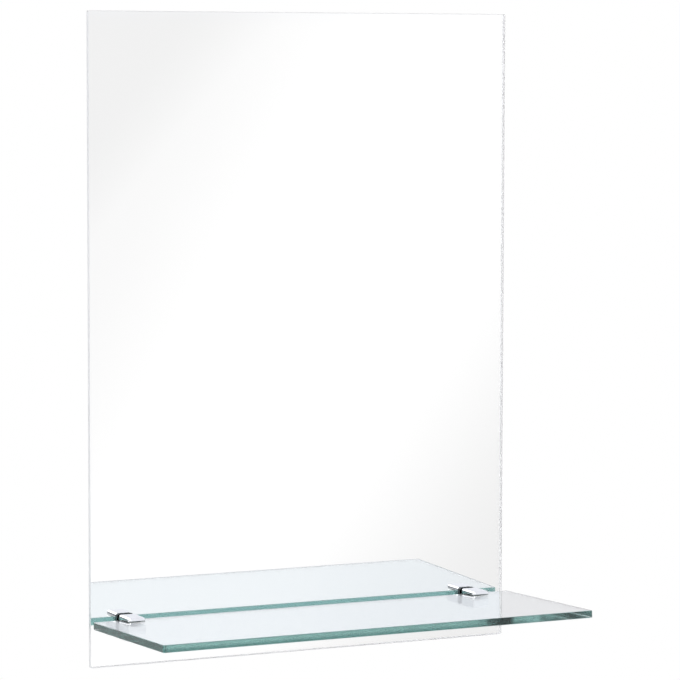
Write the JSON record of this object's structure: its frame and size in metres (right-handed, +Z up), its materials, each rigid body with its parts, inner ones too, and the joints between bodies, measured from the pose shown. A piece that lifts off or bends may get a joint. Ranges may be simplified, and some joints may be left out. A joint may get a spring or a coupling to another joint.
{
  "type": "mirror with shelf",
  "caption": "Tall frameless wall mirror with ground edges and a clear glass shelf held near its foot in chromed screw clamps.",
  "frame": {"origin": "midway between the two keyholes of the hangers, in the plane of the wall", "axes": "+X to the viewer's right along the mirror's width, +Y into the wall, +Z up"},
  "size_m": [0.502, 0.2154, 0.7],
  "materials": {
    "clear_glass": "polished float glass, ground edges",
    "shelf_glass": "polished tempered float glass, green at the edges",
    "mirror_silver": "silvering behind the glass, grey protective paint at the back",
    "chrome": "bright chrome plating on a casting",
    "nylon": "natural moulded nylon",
    "steel": "zinc-plated steel",
    "rubber": "soft near-black rubber",
    "galvanised": "galvanised sheet steel",
    "foam": "adhesive foam tape"
  },
  "bodies": {
    "mirror": {"mirror_glass": "clear_glass", "mirror_backing": "mirror_silver", "shelf_glass": "shelf_glass", "left_clamp_body": "chrome", "right_clamp_body": "chrome", "left_jaw_liner": "rubber", "right_jaw_liner": "rubber", "left_clamp_gasket": "rubber", "right_clamp_gasket": "rubber", "clamp_bolts": "steel", "hole_sleeves": "nylon", "soft_washers": "rubber", "steel_washers": "steel", "left_hanger_plate": "galvanised", "right_hanger_plate": "galvanised", "left_hanger_tape": "foam", "right_hanger_tape": "foam", "wall_bumpers": "rubber"},
    "left_pad": {"left_pressure_pad": "nylon"},
    "left_screw": {"left_clamp_screw": "steel"},
    "right_pad": {"right_pressure_pad": "nylon"},
    "right_screw": {"right_clamp_screw": "steel"}
  },
  "joints": [
    {"name": "left_pad_travel", "type": "slide", "parent": "mirror", "child": "left_pad", "axis": [0, 0.0332, 0.9995], "range_m": [-0.0015, 0]},
    {"name": "left_screw_turn", "type": "hinge", "parent": "left_pad", "child": "left_screw", "pos_m": [-0.208, -0.03362, -0.55833], "axis": [0, 0.0332, 0.9995], "range_deg": [-540, 0]},
    {"name": "right_pad_travel", "type": "slide", "parent": "mirror", "child": "right_pad", "axis": [0, 0.0332, 0.9995], "range_m": [-0.0015, 0]},
    {"name": "right_screw_turn", "type": "hinge", "parent": "right_pad", "child": "right_screw", "pos_m": [0.208, -0.03362, -0.55833], "axis": [0, 0.0332, 0.9995], "range_deg": [-540, 0]}
  ],
  "couplings": [
    {"joint": "left_screw_turn", "follows": "left_pad_travel", "rad_per_m": 6283.2},
    {"joint": "right_screw_turn", "follows": "right_pad_travel", "rad_per_m": 6283.2}
  ]
}
